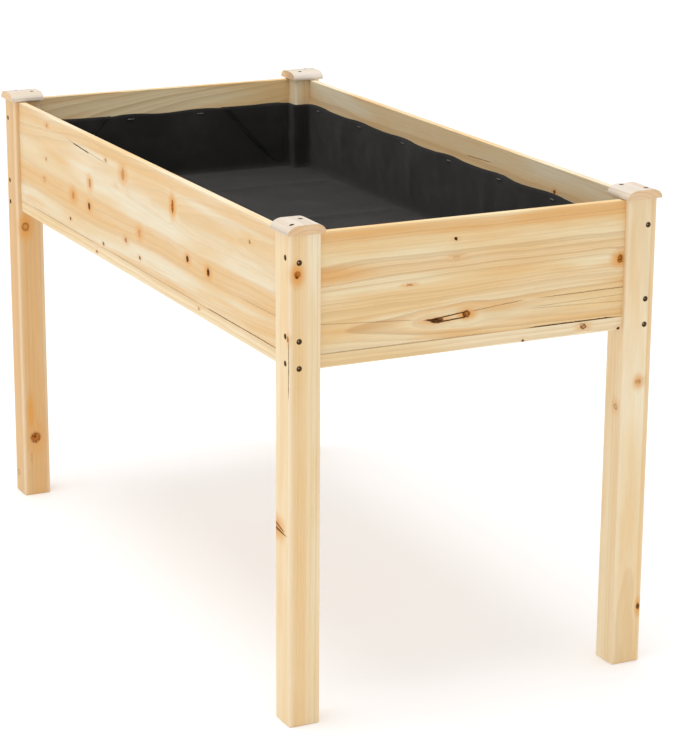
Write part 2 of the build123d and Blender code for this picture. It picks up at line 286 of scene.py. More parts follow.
# %% Light
ROOM_STRENGTH = 0.84
ROOM_COLOUR = (1.0, 0.995, 0.985, 1.0)
PANEL_COLOUR = (1.0, 0.985, 0.96)
PANELS = {
    # name: (place, aimed at, size, watts)
    "top_panel": ((0.0, -0.4, 4.0), (0, 0, 0.3), 3.0, 70),
    "front_panel": ((-0.6, -4.2, 2.6), (0, 0, 0.4), 2.6, 16),
}

room = bpy.data.worlds.new("bright_room")
bpy.context.scene.world = room
room.use_nodes = True
room_light = room.node_tree.nodes["Background"]
room_light.inputs["Color"].default_value = ROOM_COLOUR
seen = room.node_tree.nodes.new("ShaderNodeLightPath")
level = room.node_tree.nodes.new("ShaderNodeMapRange")
level.inputs["To Min"].default_value = ROOM_STRENGTH
level.inputs["To Max"].default_value = 1.0  # the backdrop itself is plain white
room.node_tree.links.new(seen.outputs["Is Camera Ray"], level.inputs["Value"])
room.node_tree.links.new(level.outputs[0], room_light.inputs["Strength"])

for name, (spot, aim, size, watts) in PANELS.items():
    panel = bpy.data.lights.new(name, "AREA")
    panel.shape = "DISK"
    panel.size = size
    panel.energy = watts
    panel.color = PANEL_COLOUR
    holder = bpy.data.objects.new(name, panel)
    bpy.context.scene.collection.objects.link(holder)
    facing = (Vector(spot) - Vector(aim)).to_track_quat("Z", "Y")
    holder.matrix_world = Matrix.Translation(spot) @ facing.to_matrix().to_4x4()

bpy.context.scene.view_settings.view_transform = "Standard"
print("lights: the room and", list(PANELS))


# %% [markdown]
# ## How a board gets its grain
#
# A board is a slice of a tree. The tree grew a band of pale, soft wood each spring and a thin
# band of hard, darker wood each summer, all round its pith. If the colour is worked out from
# the distance to the pith, in three dimensions, the faces show long lines, the ends show
# arcs, and the lines run over the corners as they do on real timber. That is why these
# boards have no pictures wrapped round them: the pattern goes right through.
#
# A board's own coordinates come first. `along` runs with the grain, `across` over the face and
# `deep` into the board, all in millimetres from one corner.

# %% A board's coordinates
AXES = {"x": Vector((1, 0, 0)), "y": Vector((0, 1, 0)), "z": Vector((0, 0, 1))}
MILLIMETRES = 1000.0


def board_corner(name, directions):
    """The corner of a piece's box where all three directions start, in metres."""
    low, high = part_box(name)
    corner = [0.0, 0.0, 0.0]
    for direction in directions:
        axis = "xyz".index(direction[-1])
        corner[axis] = high[axis] if direction.startswith("-") else low[axis]
    return tuple(corner)


def board_place(recipe, name, directions):
    """(along, across, deep) in millimetres: the place from the corner, dotted with each direction."""
    moved = recipe.vector("SUBTRACT", recipe.place(), board_corner(name, directions))
    numbers = []
    for direction in directions:
        sign = -MILLIMETRES if direction.startswith("-") else MILLIMETRES
        numbers.append(recipe.vector("DOT_PRODUCT", moved, tuple(sign * AXES[direction[-1]])))
    return recipe.joined(*numbers)


front_wall_corner = board_corner("front_wall", ("x", "-z", "y"))
print("the front wall is measured from", [round(value, 3) for value in front_wall_corner])


# %% [markdown]
# ## Knots
#
# Knots are where branches were. The stem's rings swell out round a branch, so a knot adds a
# smooth hump to the distance from the pith: a bell curve, exp(-d squared), of the distance d
# to the knot in units of its own size. The lines then bend round it by themselves. The
# knot's own colour has three zones: a mottled brown core, a thin dark rim of bark, and a halo
# of resin that has crept along the grain.

# %% Knots
KNOT_CORE = (0.42, 0.12, 0.018)
KNOT_RIM = (0.040, 0.012, 0.004)
RESIN = (0.72, 0.34, 0.08)
RESIN_CREEP = 1.7  # the halo is this much longer along the grain than across it


class Knot:
    """A branch's trace, in its board's millimetres: middle and half sizes are (along, across, deep).

    swell is how far the rings are pushed, and spread how far that reaches, in knot sizes.
    core, rim and halo say how strongly each zone shows, from 0 to 1. A dead knot is bark right through.
    """

    def __init__(self, middle, half_sizes, swell=4.0, spread=2.5, core=0.6, rim=0.5, halo=0.5, dead=False):
        self.middle = middle
        self.half_sizes = half_sizes
        self.swell = swell
        self.spread = spread
        self.core = core
        self.rim = rim
        self.halo = halo
        self.dead = dead

    def distance(self, recipe, place, stretch=1.0):
        """The length of (place - middle) / half sizes, so that the knot's edge is at 1."""
        away = recipe.vector("SUBTRACT", place, self.middle)
        long, wide, deep = self.half_sizes
        scales = (1 / (stretch * long), 1 / wide, 1 / deep)
        return recipe.vector("LENGTH", recipe.vector("MULTIPLY", away, scales))

    def hump(self, recipe, distance):
        """swell times exp(-(distance / spread) squared)."""
        power = recipe.math("MULTIPLY", recipe.math("MULTIPLY", distance, distance), -1 / self.spread**2)
        return recipe.math("MULTIPLY", recipe.math("EXPONENT", power), self.swell)

    def zones(self, recipe, place, distance):
        """How strongly the core, the rim and the halo show at a place."""
        core = recipe.fade(distance, 1.0, 0.7, 0, self.core)
        off_rim = recipe.math("SUBTRACT", distance, 0.8)
        if not self.dead:
            off_rim = recipe.math("ABSOLUTE", off_rim)
        rim = recipe.fade(off_rim, 0.45, 0.0, 0, self.rim)
        crept = self.distance(recipe, place, RESIN_CREEP)
        return core, rim, recipe.fade(crept, 2.8, 0.5, 0, self.halo)


# %% [markdown]
# ## Cracks
#
# Timber splits along the grain as it dries. A crack is a thin dark line between two points of
# a face. It is darkest in its middle and thins out to its tips. The open joint between a wall
# and the rail under it reads as the same kind of line, so it is drawn in the same way.

# %% Cracks
CRACK_EDGE = (0.36, 0.17, 0.06)
CRACK_COLOUR = (0.05, 0.017, 0.006)
CRACK_WANDER = 0.3


class Crack:
    """A dark line from start to end, each (along, across) in millimetres, between two depths."""

    def __init__(self, start, end, half_width=0.6, dark=0.8, depths=(-5.0, 60.0), tips=0.35):
        self.start = start
        self.end = end
        self.half_width = half_width
        self.dark = dark
        self.depths = depths
        self.tips = tips  # the share of the half length over which each tip thins out

    def darkness(self, recipe, along, across, deep):
        """Dark where the height is within a half width of the line's, and thinner to the tips."""
        (u0, v0), (u1, v1) = self.start, self.end
        share = recipe.math("MULTIPLY_ADD", along, 2 / (u1 - u0), -(u0 + u1) / (u1 - u0))
        tip = recipe.fade(recipe.math("ABSOLUTE", share), 1.0, 1.0 - self.tips)
        line = recipe.math("MULTIPLY_ADD", share, (v1 - v0) / 2, (v0 + v1) / 2)
        off = recipe.math("ABSOLUTE", recipe.math("SUBTRACT", across, line))
        reach = recipe.math("MULTIPLY_ADD", tip, self.half_width, 0.15)
        thin = recipe.fade(recipe.math("DIVIDE", off, reach), 1.4, 0.4, 0, self.dark)
        low = recipe.math("GREATER_THAN", deep, self.depths[0])
        high = recipe.math("LESS_THAN", deep, self.depths[1])
        within = recipe.math("MULTIPLY", recipe.math("MULTIPLY", low, high), tip)
        return recipe.math("MULTIPLY", thin, within)


# %% [markdown]
# ## Years
#
# The distance from the pith, over the width of a ring, counts the years. The fraction of a year
# rises slowly through spring wood and drops at once after summer wood, which is what makes a
# softwood line sharp on one side and soft on the other. No two years are alike, so a little
# noise along the count makes rings narrow and wide, and a throw of the dice for each year
# makes most lines faint and a few strong.

# %% Years
class Pith:
    """Where the tree's middle runs: across and deep at the board's start, and each one's lean along it."""

    def __init__(self, across, deep, lean_across=0.0, lean_deep=0.0, ring=4.0, wander=6.0):
        self.across = across
        self.deep = deep
        self.lean_across = lean_across
        self.lean_deep = lean_deep
        self.ring = ring
        self.wander = wander

    def distance(self, recipe, along, across, deep, sway):
        """The root of (across off the pith) squared plus (deep off the pith) squared, as it sways."""
        a = recipe.math("MULTIPLY_ADD", along, -self.lean_across, across)
        a = recipe.math("ADD", recipe.math("SUBTRACT", a, self.across), sway)
        b = recipe.math("MULTIPLY_ADD", along, -self.lean_deep, deep)
        b = recipe.math("SUBTRACT", b, self.deep)
        return recipe.math("SQRT", recipe.math("MULTIPLY_ADD", a, a, recipe.math("MULTIPLY", b, b)))


SPRING_ENDS = 0.15  # of the year; the wood darkens from here
SUMMER_ENDS = 0.9  # and is at its darkest here
FAT_YEARS = 0.43  # how fast wide and narrow rings take turns
RING_DRIFT = 2.6  # rings by which they put the count out
BOLD_POWER = 2.2  # the higher, the fewer bold lines
FAINTEST = 0.15


def summer_lines(recipe, distance, ring):
    """Each year's line: a slow rise, a sharp fall, and the year's own strength."""
    years = recipe.math("DIVIDE", distance, ring)
    drift = recipe.noise_along(recipe.math("MULTIPLY", years, FAT_YEARS))
    uneven = recipe.math("MULTIPLY_ADD", drift, RING_DRIFT, years)
    season = recipe.math("FRACT", uneven)
    bold = recipe.math("POWER", recipe.dice(recipe.math("FLOOR", uneven)), BOLD_POWER)
    rise = recipe.fade(season, SPRING_ENDS, SUMMER_ENDS)
    fall = recipe.fade(season, 1.0, SUMMER_ENDS)
    strength = recipe.math("MULTIPLY_ADD", bold, 1 - FAINTEST, FAINTEST)
    return recipe.math("MULTIPLY", recipe.math("MULTIPLY", rise, fall), strength)


# %% [markdown]
# ## Softwood
#
# Now the parts come together. Slow noise makes the pith sway and the knots add their humps.
# Warm heartwood comes in wide bands and in long, soft patches; a board can be told where its
# strongest bands lie. Fine fibres and short resin streaks go on top. A post's rounded corners
# get a painted highlight, a paler stripe along each edge, and sawn ends are darker, because
# open fibres drink light. The same fibres and lines give the surface its faint relief.
#
# The palettes come first, then a short function for each layer of colour, then the board.

# %% Palettes
SAWN_END = (0.80, 0.66, 0.48)  # what a sawn end multiplies the colour by


class Palette:
    """The colours of one batch of wood, from its palest spring growth to its summer lines."""

    def __init__(self, pale, straw, warm, summer, end=SAWN_END):
        self.pale = pale
        self.straw = straw
        self.warm = warm
        self.summer = summer
        self.end = end


GOLDEN_SPRUCE = Palette(
    pale=(0.82, 0.68, 0.43), straw=(0.79, 0.57, 0.29), warm=(0.75, 0.44, 0.17), summer=(0.46, 0.25, 0.09),
)
CREAM_SPRUCE = Palette(
    pale=(0.78, 0.68, 0.49), straw=(0.76, 0.58, 0.34), warm=(0.74, 0.46, 0.19), summer=(0.50, 0.29, 0.12),
)
SPRUCE = Palette(
    pale=(0.85, 0.70, 0.46), straw=(0.80, 0.60, 0.33), warm=(0.76, 0.48, 0.20), summer=(0.50, 0.29, 0.11),
)
POST_SPRUCE = Palette(
    pale=(0.86, 0.74, 0.52), straw=(0.83, 0.66, 0.41), warm=(0.79, 0.53, 0.25), summer=(0.56, 0.34, 0.14),
)
# The front left post's wood: an oranger batch, made darker as a painted shade over the whole post.
AMBER_AND_SHADED_SPRUCE = Palette(
    pale=(0.73, 0.53, 0.31), straw=(0.72, 0.47, 0.24), warm=(0.70, 0.41, 0.15), summer=(0.48, 0.26, 0.09),
)
# The caps' wood, painted pale and greyish for the light that washes out their tops; the end colour is the end
# grain's.
CAP_WOOD_WITH_PAINTED_LIGHT = Palette(
    pale=(0.67, 0.605, 0.53), straw=(0.65, 0.56, 0.45), warm=(0.64, 0.50, 0.35), summer=(0.48, 0.34, 0.21),
    end=(1.16, 0.90, 0.60),
)


class Band:
    """A warm stripe along the grain, between two heights across, or between two depths."""

    def __init__(self, start, end, strength, axis="across", soft=0.45):
        self.start = start
        self.end = end
        self.strength = strength
        self.axis = axis
        self.soft = soft

    def warmth(self, recipe, across, deep):
        """Full in the middle of the stripe, fading to nothing at its edges."""
        height = across if self.axis == "across" else deep
        off = recipe.math("ABSOLUTE", recipe.math("SUBTRACT", height, (self.start + self.end) / 2))
        reach = abs(self.end - self.start) / 2
        return recipe.fade(off, reach * (1 + self.soft), reach * (1 - self.soft), 0, self.strength)


# %% Layers of colour
# A painted highlight on a post's rounded corners: its colour, and below, the range over which it fades in.
PAINTED_EDGE_HIGHLIGHT = (0.86, 0.72, 0.52)
POST_SIDE = 50.0
EDGE_HIGHLIGHT_FADE = (42, 49)  # of across plus deep from a post's middle, which is 50 at its corner
HEARTWOOD = 19  # millimetres from one warm run of rings to the next
SWAY_TO_BANDS = 0.4  # how much of the pith's sway the bands follow


def with_knots(recipe, ragged_place, distance, knots):
    """The distance from the pith plus the knots' humps, and the strongest core, rim and halo."""
    zones = (None, None, None)
    for knot in knots:
        away = knot.distance(recipe, ragged_place)
        distance = recipe.math("ADD", distance, knot.hump(recipe, away))
        new_zones = knot.zones(recipe, ragged_place, away)
        zones = tuple(recipe.most(kept, new) for kept, new in zip(zones, new_zones))
    return distance, *zones


def heart_warmth(recipe, distance, patch, swayed_across, deep, warmth, bands):
    """Warm where rings and patches are both high, and in the board's own bands, unevenly."""
    heart = recipe.noise_along(recipe.math("MULTIPLY", distance, 1 / HEARTWOOD), detail=2)
    warm = recipe.fade(recipe.math("ADD", heart, patch), 0.92, 1.32, 0, warmth)
    unevenness = recipe.fade(patch, 0.3, 0.6, 0.6, 1)
    for band in bands:
        strength = band.warmth(recipe, swayed_across, deep)
        warm = recipe.most(warm, recipe.math("MULTIPLY", strength, unevenness))
    return warm


def paint_edge_highlight(recipe, colour, place, strength):
    """A painted highlight: paler where |across| plus |deep|, from a post's middle, is nearly a whole side."""
    off = recipe.vector("ABSOLUTE", recipe.vector("SUBTRACT", place, (0, POST_SIDE / 2, POST_SIDE / 2)))
    _, wide, thick = recipe.parts(off)
    corner = recipe.fade(recipe.math("ADD", wide, thick), *EDGE_HIGHLIGHT_FADE, 0, strength)
    return recipe.blend(corner, colour, PAINTED_EDGE_HIGHLIGHT)


def knots_painted(recipe, colour, small, core, rim, halo):
    """The resin first, then the mottled core, then the rim with some specks of bark in the core."""
    mottle = recipe.fade(small, -0.7, 0.7, 0.75, 1.0)
    specks = recipe.math("MULTIPLY", core, recipe.fade(small, 0.1, 0.9, 0, 0.75))
    bark = recipe.most(recipe.math("MULTIPLY", rim, mottle), specks)
    colour = recipe.blend(halo, colour, RESIN)
    colour = recipe.blend(recipe.math("MULTIPLY", core, mottle), colour, KNOT_CORE)
    return recipe.blend(bark, colour, KNOT_RIM)


def cracks_painted(recipe, colour, dark):
    """A brown edge, and black where the crack is darkest."""
    colour = recipe.blend(dark, colour, CRACK_EDGE)
    return recipe.blend(recipe.math("POWER", dark, 2.5), colour, CRACK_COLOUR)


def ends_sawn(recipe, colour, fibre, palette, grain_axis):
    """The end's colour where the surface faces along the grain, more of it where fibres are open."""
    toward = recipe.vector("DOT_PRODUCT", recipe.normal(), tuple(AXES[grain_axis]))
    at_end = recipe.fade(recipe.math("ABSOLUTE", toward), 0.6, 0.9)
    sawn = recipe.math("MULTIPLY", at_end, recipe.math("MULTIPLY_ADD", fibre, 0.6, 0.6))
    return recipe.blend(sawn, colour, palette.end, "MULTIPLY")


# %% Softwood
RELIEF = 0.00035
CLOUD_FADE = (0.40, 0.58)  # of the noise, from pale to straw
FLECK_FADE = (0.70, 0.80)  # only the highest noise makes a fleck
FLECKS = 0.3
RAGGED_REACH = 3.5  # millimetres by which a knot's outline is uneven
GRAINS = {
    # texture: size of its grain in millimetres (along, across, deep), shift, detail, roughness
    "sway": ((260, 75, 75), 0, 2, 0.5),
    "ragged": ((7, 3.5, 3.5), 3, 3, 0.7),
    "patch": ((190, 26, 26), 7, 3, 0.5),
    "cloud": ((420, 60, 60), 9, 2, 0.5),
    "fibre": ((45, 1.2, 1.2), 11, 3, 0.65),
    "fleck": ((14, 0.9, 0.9), 13, 1, 0.5),
}


def grain(recipe, place, kind, seed):
    """One of the board's textures, moved by the board's seed and the texture's own shift."""
    sizes, shift, detail, roughness = GRAINS[kind]
    scales = tuple(1 / size for size in sizes)
    return recipe.noise(recipe.stretched(place, scales, seed + shift), detail, roughness)


def softwood(
    name, directions, seed, pith, palette=SPRUCE, warmth=0.5, lines=0.5,
    knots=(), cracks=(), bands=(), bores=(), pale_corners=0.0,
):
    """The wood of one named piece, whose grain runs in the first of three directions."""
    recipe = Recipe(f"{name}_wood")
    place = board_place(recipe, name, directions)
    along, across, deep = recipe.parts(place)
    patch = grain(recipe, place, "patch", seed)
    cloud = grain(recipe, place, "cloud", seed)
    fibre = grain(recipe, place, "fibre", seed)
    fleck = grain(recipe, place, "fleck", seed)
    slow = grain(recipe, place, "sway", seed)
    sway = recipe.math("MULTIPLY_ADD", slow, 2 * pith.wander, -pith.wander)
    small = grain(recipe, place, "ragged", seed)
    small = recipe.math("MULTIPLY_ADD", small, 2 * RAGGED_REACH, -RAGGED_REACH)
    ragged_place = recipe.vector("ADD", place, recipe.joined(small, small, 0.0))

    distance = pith.distance(recipe, along, across, deep, sway)
    distance, core, rim, halo = with_knots(recipe, ragged_place, distance, knots)
    line = summer_lines(recipe, distance, pith.ring)
    swayed_across = recipe.math("MULTIPLY_ADD", sway, SWAY_TO_BANDS, across)
    warm = heart_warmth(recipe, distance, patch, swayed_across, deep, warmth, bands)

    colour = recipe.blend(recipe.fade(cloud, *CLOUD_FADE), palette.pale, palette.straw)
    colour = recipe.blend(warm, colour, palette.warm)
    colour = recipe.blend(recipe.math("MULTIPLY", line, lines), colour, palette.summer)
    colour = recipe.blend(recipe.fade(fleck, *FLECK_FADE, 0, FLECKS), colour, palette.summer)
    # A post's corners get a painted highlight, a paler stripe along each edge.
    if pale_corners:
        colour = paint_edge_highlight(recipe, colour, place, pale_corners)
    colour = recipe.shaded(colour, recipe.math("MULTIPLY_ADD", fibre, 0.20, 0.90))
    if knots:
        colour = knots_painted(recipe, colour, small, core, rim, halo)

    dark = bruise_and_shade = None
    ragged_across = recipe.math("MULTIPLY_ADD", small, CRACK_WANDER, across)
    for crack in cracks:
        dark = recipe.most(dark, crack.darkness(recipe, along, ragged_across, deep))
    if cracks:
        colour = cracks_painted(recipe, colour, dark)
    # Painted shade round sunk screws and nails, over a little bruised wood.
    for bore in bores:
        bruise_and_shade = recipe.most(bruise_and_shade, bore_shade(recipe, bore))
    if bores:
        colour = recipe.blend(bruise_and_shade, colour, BORE_SHADE_COLOUR)
    colour = ends_sawn(recipe, colour, fibre, palette, directions[0][-1])

    roughness = recipe.math("MULTIPLY_ADD", line, -0.14, 0.64)
    height = recipe.math("MULTIPLY_ADD", line, 0.4, recipe.math("MULTIPLY", fibre, 0.6))
    if cracks:
        height = recipe.math("MULTIPLY_ADD", dark, -2.5, height)
    if knots:
        height = recipe.math("MULTIPLY_ADD", rim, -1.2, height)
    dullest = 0.0
    for zone in (core, rim, dark, bruise_and_shade):
        if zone is not None:
            dullest = recipe.math("MAXIMUM", zone, dullest)
    shine = recipe.math("MULTIPLY_ADD", dullest, -0.3, 0.3)
    return recipe.finish(colour, roughness, height, relief=RELIEF, Specular_IOR_Level=shine)


print(len(GRAINS), "textures make a board, from", GRAINS["fleck"][0], "to", GRAINS["cloud"][0], "mm")


# %% [markdown]
# ## The four walls
#
# Each wall is one wide board, sawn near the middle of the tree. The front wall has a string of
# small branch knots, an old drying crack near its far end, and three warm bands. The right
# wall's rings lean, so they break out of the face as a long arch. Its mark is a slit of
# ingrown bark near the lower edge: two dark lips with pale wood between them, a black lump
# at one end and a hook at the other. It is drawn as two small ringed knots joined by two
# cracks, with a third crack that runs out of the lump as a tail.

# %% Walls
def dress_board(name, directions, seed, pith, **rest):
    """Gives one named piece its own wood."""
    dress(pieces[name], softwood(name, directions, seed, pith, **rest))


THROUGH = 80.0  # a knot this deep goes right through a board
SEAM = 179.3  # the joint with the rail, below a wall's top


def small_knot(along, across, size=4.0, **rest):
    """A dead pin knot that goes through the board, a little longer than it is wide."""
    return Knot((along, across, 0), (1.2 * size, size, THROUGH), dead=True, **rest)


dress_board(
    "front_wall", ("x", "-z", "y"), 1.0,
    Pith(74, -64, lean_across=-0.03, lean_deep=0.03, ring=5.2, wander=11),
    palette=CREAM_SPRUCE,
    warmth=0.75,
    lines=0.30,
    bands=(Band(3, 22, 0.7), Band(34, 56, 0.4), Band(102, 142, 0.8)),
    knots=(
        Knot((509, 36, 0), (7, 10, THROUGH), swell=6, core=0.35, rim=0.3, halo=0.7),
        Knot((719, 47, 0), (4.5, 11, THROUGH), swell=6, spread=3, core=1.0, rim=0.5, halo=1.0),
        small_knot(147, 17, 4, core=0.3, rim=0.2, halo=0.5),
        small_knot(139, 78, 3.5, core=0.4, rim=0.3, halo=0.3),
        Knot((128, 117, 0), (6, 5, THROUGH), core=0.15, rim=0.35, halo=0.3),
        small_knot(432, 27, 3, core=0.4, rim=0.4, halo=0.4),
        small_knot(517, 144, 4.5, core=0.5, rim=0.4, halo=0.5),
        Knot((355, 80, 0), (5, 8, THROUGH), core=0.6, rim=0.2, halo=0.7),
        Knot((273, 117, 0), (7, 8, THROUGH), core=0.5, rim=0.1, halo=0.9),
        Knot((350, 121, 0), (5, 6, THROUGH), core=0.9, rim=0.9, halo=0.8, dead=True),
        Knot((578, 120, 0), (6, 8, THROUGH), core=0.3, rim=0.1, halo=0.6),
        Knot((777, 119, 0), (5, 5.5, THROUGH), core=0.9, rim=0.95, halo=0.7, dead=True),
        Knot((858, 122, 0), (5, 6.5, THROUGH), core=0.9, rim=0.95, halo=0.9, dead=True),
        small_knot(257, 161, 3, core=0.8, rim=0.8, halo=0.3),
        small_knot(578, 161, 3.2, core=0.8, rim=0.8, halo=0.3),
        small_knot(414, 172, 3, core=0.7, rim=0.7, halo=0.2),
        small_knot(1012, 42, 3, core=0.5, rim=0.5, halo=0.3),
        small_knot(1108, 96, 4, core=0.3, rim=0.5, halo=0.2),
    ),
    cracks=(
        Crack((232, 22), (455, 33), half_width=0.5, dark=0.45),
        Crack((269, 24.5), (361, 29.5), half_width=1.0, dark=0.9),
        Crack((40, SEAM), (420, SEAM), half_width=0.8, dark=0.4),
        Crack((430, SEAM), (860, SEAM), half_width=0.8, dark=0.35, tips=0.3),
        Crack((840, SEAM), (1118, SEAM), half_width=0.9, dark=0.75, tips=0.2),
        Crack((980, 134), (1119, 131), half_width=0.4, dark=0.4),
    ),
)
dress_board(
    "right_wall", ("y", "-z", "-x"), 2.0,
    Pith(150, -34, lean_across=0.0, lean_deep=0.034, ring=5.6, wander=8),
    palette=GOLDEN_SPRUCE,
    warmth=0.85,
    lines=0.5,
    bands=(Band(3, 21, 1.0, soft=0.25), Band(54, 76, 0.5), Band(100, 122, 0.25), Band(166, 176, 0.2)),
    knots=(
        Knot((191, 150.0, 0), (11, 4.0, THROUGH), swell=-7, spread=4, core=1.0, rim=1.0, halo=0.7, dead=True),
        Knot((240, 146.0, 0), (6, 5.2, THROUGH), swell=-6, spread=4, core=0.8, rim=1.0, halo=1.0),
        Knot((503, 89, 0), (5, 7, THROUGH), swell=6, core=0.95, rim=0.55, halo=1.0),
        Knot((145, 92, 0), (5, 1.8, THROUGH), swell=2, core=0.6, rim=0.25, halo=0.6),
        small_knot(221, 31, 2.4, swell=2, core=0.8, rim=1.0, halo=0.3),
        Knot((222, 59, 0), (6, 3, THROUGH), swell=4, core=0.12, rim=0.15, halo=0.35),
        Knot((16, 67, 0), (22, 7, THROUGH), swell=5, core=0.0, rim=0.0, halo=0.5),
        Knot((312, 87, 0), (18, 5, THROUGH), swell=3, core=0.0, rim=0.0, halo=0.25),
    ),
    cracks=(
        Crack((164, 147.6), (206, 149.6), half_width=1.6, dark=1.0, tips=0.7),
        Crack((188, 147.6), (240, 142.0), half_width=0.9, dark=0.95, tips=0.08),
        Crack((188, 153.2), (240, 150.4), half_width=0.9, dark=0.95, tips=0.08),
        Crack((-20, 133.5), (170, 146.5), half_width=0.45, dark=0.42),
        Crack((242, 143), (345, 134.5), half_width=0.5, dark=0.55),
        Crack((330, 135.0), (600, 133), half_width=0.5, dark=0.6, tips=0.5),
        Crack((330, 148.0), (600, 143), half_width=0.4, dark=0.35),
        Crack((330, 149.0), (560, 157), half_width=0.4, dark=0.35),
        Crack((-80, SEAM), (330, SEAM), half_width=0.8, dark=0.45),
        Crack((330, SEAM), (520, SEAM), half_width=1.1, dark=1.0, tips=0.4),
    ),
)
dress_board(
    "rear_wall", ("x", "-z", "-y"), 3.1,
    Pith(96, -58, lean_across=0.02, lean_deep=0.02, ring=5.0, wander=12),
    palette=CREAM_SPRUCE,
    warmth=0.65,
    lines=0.4,
    bands=(Band(30, 62, 0.45),),
    knots=(
        Knot((208, 61, 0), (9, 8, THROUGH), swell=8, core=0.7, rim=0.6, halo=0.8),
        small_knot(466, 128, 4, core=0.8, rim=0.9),
        Knot((690, 94, 0), (7, 6, THROUGH), swell=7, core=0.6, rim=0.5, halo=0.9),
        small_knot(905, 40, 3.5, core=0.8, rim=0.8),
        small_knot(1032, 150, 4, core=0.6, rim=0.5),
    ),
    cracks=(
        Crack((20, SEAM), (700, SEAM), half_width=0.8, dark=0.6),
        Crack((610, 33), (708, 30), dark=0.6),
    ),
)
dress_board(
    "left_wall", ("y", "-z", "x"), 4.2,
    Pith(60, -62, lean_across=-0.02, lean_deep=0.06, ring=4.8, wander=9),
    palette=GOLDEN_SPRUCE,
    warmth=0.7,
    bands=(Band(120, 160, 0.4),),
    knots=(
        Knot((142, 112, 0), (8, 7, THROUGH), swell=7, core=0.7, rim=0.6, halo=0.8),
        small_knot(365, 52, 4, core=0.8, rim=0.9),
        small_knot(431, 139, 3.5, core=0.5, rim=0.5),
    ),
    cracks=(Crack((60, SEAM), (500, SEAM), half_width=0.8, dark=0.6),),
)
print("walls:", [name for name in pieces if name.endswith("_wall")])


# %% [markdown]
# ## Rails, bearer and slats
#
# The rails and the bearer are plain battens. Only a strip of each outer rail shows, so a seed
# of its own and a knot or two are enough. The thirteen slats are cut one after another from
# the same stock: the seed, the place of the pith and one knot are worked out from the
# slat's number, so they differ as neighbours do.

# %% Battens
dress_board(
    "front_rail", ("x", "-z", "y"), 5.3,
    Pith(70, -44, ring=4.4, wander=6),
    lines=0.4,
    warmth=0.35,
    knots=(
        small_knot(382, 12, 2.6, core=0.8, rim=0.8, halo=0.3),
        small_knot(820, 8, 2.6, core=0.5, rim=0.4, halo=0.3),
    ),
)
dress_board(
    "right_rail", ("y", "-z", "-x"), 7.7,
    Pith(-50, -40, ring=4.2, wander=5),
    lines=0.4,
    warmth=0.3,
    knots=(
        Knot((442, 8, 0), (5, 4, THROUGH), core=0.75, rim=0.85, halo=0.5),
        small_knot(337, 18, 2, core=0.9, rim=0.9, halo=0.3),
        small_knot(504, 18, 2.4, core=0.95, rim=1.0, halo=0.3),
    ),
)
dress_board(
    "rear_rail", ("x", "-z", "-y"), 6.1,
    Pith(-44, -40, ring=4.4, wander=6),
    knots=(
        small_knot(301, 9, 3, core=0.6, rim=0.6),
        small_knot(871, 12, 3, core=0.8, rim=0.8),
    ),
)
dress_board(
    "left_rail", ("y", "-z", "x"), 8.9,
    Pith(60, -44, ring=4.4, wander=5),
    knots=(small_knot(188, 10, 3, core=0.6, rim=0.6),),
)
dress_board(
    "centre_bearer", ("x", "y", "-z"), 9.4,
    Pith(60, 50, ring=4.0, wander=6),
    knots=(
        small_knot(240, 14, 4, core=0.7, rim=0.6),
        small_knot(846, 27, 4, core=0.7, rim=0.6),
    ),
)

slats = sorted(name for name in pieces if name.startswith("floor_slat"))
for number, name in enumerate(slats, start=1):
    turn = 2.4 * number  # an angle that never repeats, so that sines of it scatter
    lean = 0.03 * math.sin(2 * turn)
    knot_along = 283 + 210 * math.sin(5 * turn)
    knot_across = 41 + 26 * math.cos(7 * turn)
    dress_board(
        name, ("y", "x", "-z"), 50 + 1.7 * number,
        Pith(41 + 46 * math.sin(turn), 66 + 18 * math.cos(turn), lean_across=lean, ring=4.6),
        warmth=0.45 + 0.2 * math.cos(3 * turn),
        knots=(small_knot(knot_along, knot_across, 4.5, core=0.7, rim=0.6),),
    )
print(len(slats), "slats, each with its own pith and knot")


# %% [markdown]
# ## Posts and caps
#
# A post is sawn from a smaller tree, so its pith passes close by and its lines are broad and
# few. Its rounded corners get a painted highlight: a paler stripe along each edge. The screws
# were driven below the face; the rim of each bore is a little bruised, and a painted shade
# darkens it more: the shade depends on the distance from the screw's axis alone. The screws'
# places are read from their own mesh: the points near a post's outer face, split into heads
# wherever the next point is far above the last.
#
# The front right post has a mark of torn bark low on its front face: two short strokes across
# the grain. A crack's line may run at any angle, so they are two cracks. As its width is
# measured across the board, a steep one needs a large half width.
#
# The caps are sawn off a rounded moulding of the same wood, painted pale and greyish for the
# light that washes out their tops; their two sawn ends are darker. Round their nails the wood
# gets a ring of painted shade, whose places come from the nails' own mesh.

# %% Screw bores
# Round each sunk head the wood is a little bruised, and a painted shade darkens it more: the ring's colour,
# its strength, and below, how far it reaches past the bore.
BORE_SHADE_COLOUR = (0.085, 0.045, 0.02)
BORE_SHADE_STRENGTH = 0.9
SCREW_BORE = 0.0040
NAIL_SEAT = 0.0034
BRUISE_AND_SHADE_REACH = 0.0011
BORE_EDGE = 0.0004
HEAD_DEPTH = 0.0026  # a sunk head's face is less than this below the post's
HEAD_PITCH = 0.012  # heads are further apart than this
BOX_SLACK = 0.001


def mesh_points(name):
    """All of a piece's points as an array with a row for each."""
    mesh = pieces[name].data
    points = np.empty(len(mesh.vertices) * 3, np.float32)
    mesh.vertices.foreach_get("co", points)
    return points.reshape(-1, 3).astype(float)


def middle_of(points):
    """The middle of the points' box."""
    return (points.min(axis=0) + points.max(axis=0)) / 2


